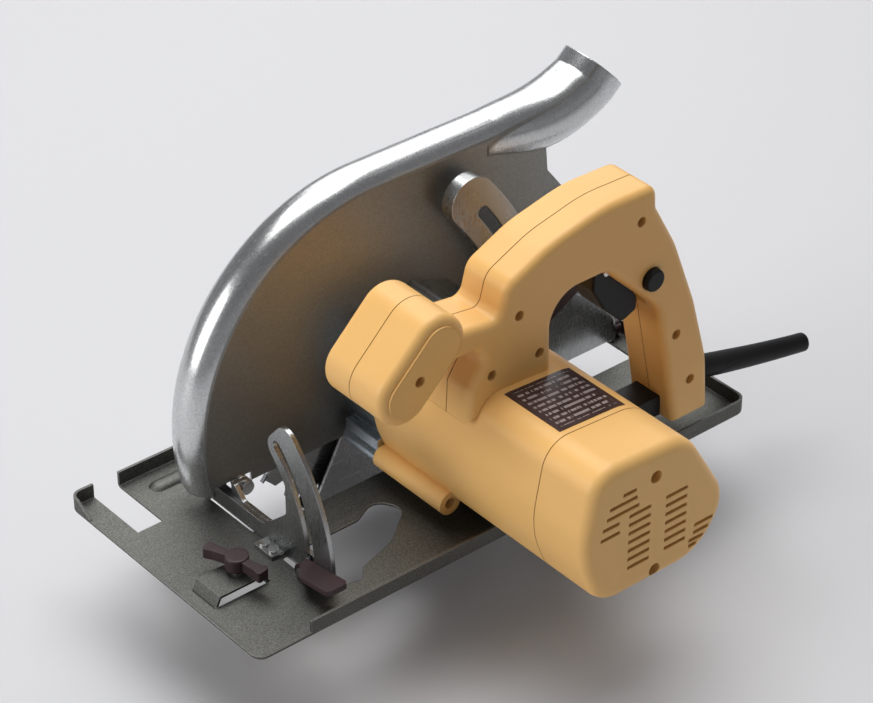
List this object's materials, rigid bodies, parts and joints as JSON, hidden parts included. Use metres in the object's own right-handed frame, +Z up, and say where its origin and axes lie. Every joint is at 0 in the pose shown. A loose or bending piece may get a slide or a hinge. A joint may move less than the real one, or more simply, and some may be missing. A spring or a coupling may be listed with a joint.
{
  "type": "circular saw",
  "caption": "Corded circular saw with yellow motor and D-handle, front grip, polished blade guard with a dust spout, and a pressed sole that tilts and sets depth.",
  "frame": {"origin": "centre of the sole plate's rectangle, on its underside", "axes": "+X forward in the cutting direction, +Y towards the motor side, +Z up"},
  "size_m": [0.4382, 0.277, 0.251],
  "materials": {
    "yellow_shell": "fine moulded satin gloss, slightly worn edges",
    "polished_aluminium": "bright polished casting with faint drawn lines",
    "cast_silver": "smooth cast silver with bright machined ribs",
    "grey_sheet_steel": "grey pressed sheet with a fine grain",
    "bright_steel": "bright plated pressing",
    "pin_steel": "turned bright steel",
    "brown_plastic": "dark brown matt moulding",
    "black_plastic": "black satin moulding",
    "black_rubber": "smooth black rubber",
    "label_film": null,
    "screw_steel": "dark zinc",
    "bearing_steel": "ground bright",
    "bronze": "machined",
    "copper": "enamelled copper",
    "laminations": "stacked sheet",
    "carbon": "pressed carbon",
    "spring_steel": "drawn wire",
    "blade_steel": "ground in circles",
    "carbide": "ground dark grey"
  },
  "bodies": {
    "base": {"base_plate": "grey_sheet_steel", "front_quadrant": "bright_steel", "rear_quadrant": "bright_steel", "quadrant_rivets": "pin_steel", "front_bevel_pin": "pin_steel", "rear_bevel_pin": "pin_steel"},
    "guide_clamp": {"guide_screw": "pin_steel", "guide_wing_knob": "brown_plastic"},
    "tilt_frame": {"front_tilt_bracket": "bright_steel", "depth_arc": "bright_steel", "bevel_clamp_bolt": "pin_steel", "rear_clamp_bolt": "pin_steel", "depth_pivot_pin": "pin_steel"},
    "bevel_lever": {"bevel_clamp_lever": "brown_plastic"},
    "rear_knob": {"rear_clamp_knob": "brown_plastic"},
    "depth_lever": {"depth_clamp_lever": "brown_plastic"},
    "blade_set": {"spindle": "pin_steel", "spindle_gear": "blade_steel", "inner_flange": "pin_steel", "blade": "blade_steel", "blade_tips": "carbide", "outer_flange": "pin_steel", "arbor_bolt": "screw_steel"},
    "armature": {"armature_shaft": "pin_steel", "armature_core": "laminations", "armature_windings": "copper", "commutator": "copper", "fan": "black_plastic"},
    "swing_guard": {"lower_guard": "polished_aluminium"},
    "trigger_lever": {"trigger": "black_plastic"},
    "lock_plunger": {"lock_button": "black_plastic"},
    "saw_unit": {"boss_screw": "screw_steel", "brush_holders": "bronze", "brush_springs": "spring_steel", "cable_sleeve": "black_rubber", "carbon_brushes": "carbon", "depth_clamp_bolt": "pin_steel", "end_cap": "yellow_shell", "end_cap_screws": "screw_steel", "field_core": "laminations", "field_windings": "copper", "front_motor_bearing": "bearing_steel", "gear_case": "cast_silver", "gear_case_screws": "screw_steel", "guard_retaining_ring": "bearing_steel", "guard_spring": "spring_steel", "handle_far": "yellow_shell", "handle_near": "yellow_shell", "handle_screws": "screw_steel", "motor_housing": "yellow_shell", "rating_label": "label_film", "rear_bridge": "black_plastic", "rear_motor_bearing": "bearing_steel", "spindle_bearing": "bearing_steel", "spindle_bush": "bronze", "switch_unit": "black_plastic", "trigger_pin": "pin_steel", "upper_guard": "polished_aluminium"}
  },
  "joints": [
    {"name": "bevel", "type": "hinge", "parent": "base", "child": "tilt_frame", "pos_m": [0, -0.0455, 0.0076], "axis": [1, 0, 0], "range_deg": [0, 45]},
    {"name": "depth", "type": "hinge", "parent": "tilt_frame", "child": "saw_unit", "pos_m": [0.1057, -0.03, 0.0159], "axis": [0, 1, 0], "range_deg": [0, 24]},
    {"name": "blade_spin", "type": "hinge", "parent": "saw_unit", "child": "blade_set", "pos_m": [0.0032, -0.0455, 0.0507], "axis": [0, 1, 0], "continuous": true},
    {"name": "armature_spin", "type": "hinge", "parent": "saw_unit", "child": "armature", "pos_m": [-0.018, 0.08, 0.0582], "axis": [0, 1, 0], "continuous": true},
    {"name": "guard_swing", "type": "hinge", "parent": "saw_unit", "child": "swing_guard", "pos_m": [0.0032, -0.0455, 0.0507], "axis": [0, 1, 0], "range_deg": [0, 110], "stiffness_Nm_per_rad": 0.25, "springref_deg": -91.67},
    {"name": "trigger_pull", "type": "hinge", "parent": "saw_unit", "child": "trigger_lever", "pos_m": [-0.0705, 0.071, 0.144], "axis": [0, 1, 0], "range_deg": [0, 7], "stiffness_Nm_per_rad": 1.2, "springref_deg": -6.88},
    {"name": "lock_press", "type": "slide", "parent": "saw_unit", "child": "lock_plunger", "axis": [0, -1, 0], "range_m": [0, 0.003], "stiffness_N_per_m": 300, "springref_m": -0.002},
    {"name": "bevel_lever_turn", "type": "hinge", "parent": "tilt_frame", "child": "bevel_lever", "pos_m": [0.1206, 0.05, 0.0076], "axis": [1, 0, 0], "range_deg": [0, 60]},
    {"name": "rear_knob_turn", "type": "hinge", "parent": "tilt_frame", "child": "rear_knob", "pos_m": [-0.178, -0.0215, 0.0076], "axis": [1, 0, 0], "range_deg": [-90, 90]},
    {"name": "depth_lever_turn", "type": "hinge", "parent": "saw_unit", "child": "depth_lever", "pos_m": [-0.10194, -0.009, 0.0473], "axis": [0, 1, 0], "range_deg": [0, 50]},
    {"name": "guide_clamp_turn", "type": "hinge", "parent": "base", "child": "guide_clamp", "pos_m": [0.151, 0.0265, 0.014], "axis": [0, 0, 1], "range_deg": [-90, 60]}
  ],
  "couplings": [
    {"joint": "armature_spin", "follows": "blade_spin", "ratio": -3.5}
  ]
}
